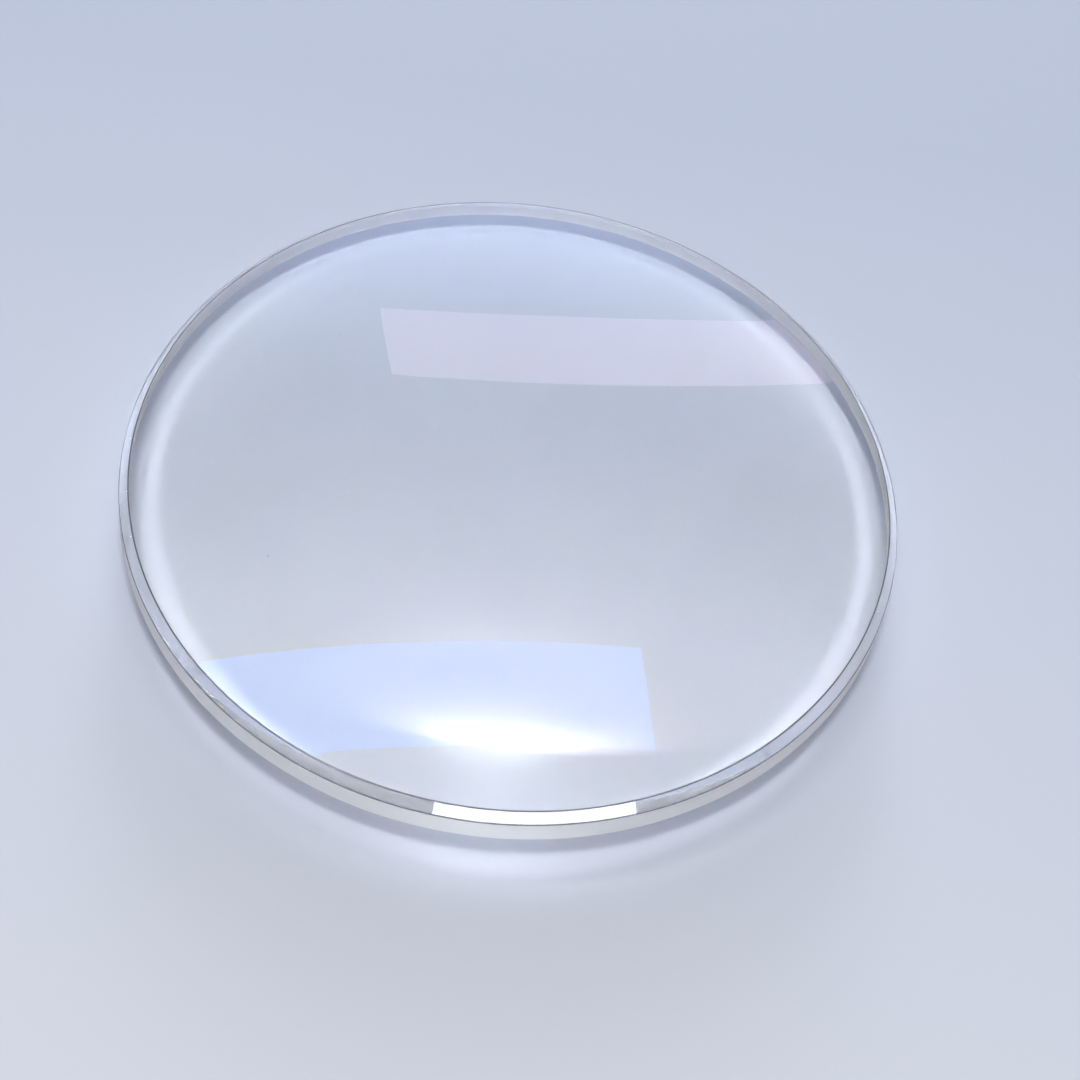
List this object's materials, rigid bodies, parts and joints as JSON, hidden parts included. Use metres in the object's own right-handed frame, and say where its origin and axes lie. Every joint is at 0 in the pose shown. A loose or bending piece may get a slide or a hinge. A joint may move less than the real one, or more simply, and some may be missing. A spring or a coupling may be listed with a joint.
{
  "type": "biconvex lens",
  "caption": "Clear round double-convex glass lens, unmounted, with two shallow polished faces, a straight ground wall and a narrow bevel above and below it.",
  "frame": {"origin": "crown of the lower face, on the lens' axis", "axes": "+Z along the optical axis, from the lower face's crown to the upper face's crown"},
  "size_m": [0.05, 0.05, 0.0064],
  "materials": {
    "clear_glass": "ground and polished clear glass"
  },
  "bodies": {
    "root": {"lens_glass": "clear_glass"}
  },
  "joints": []
}
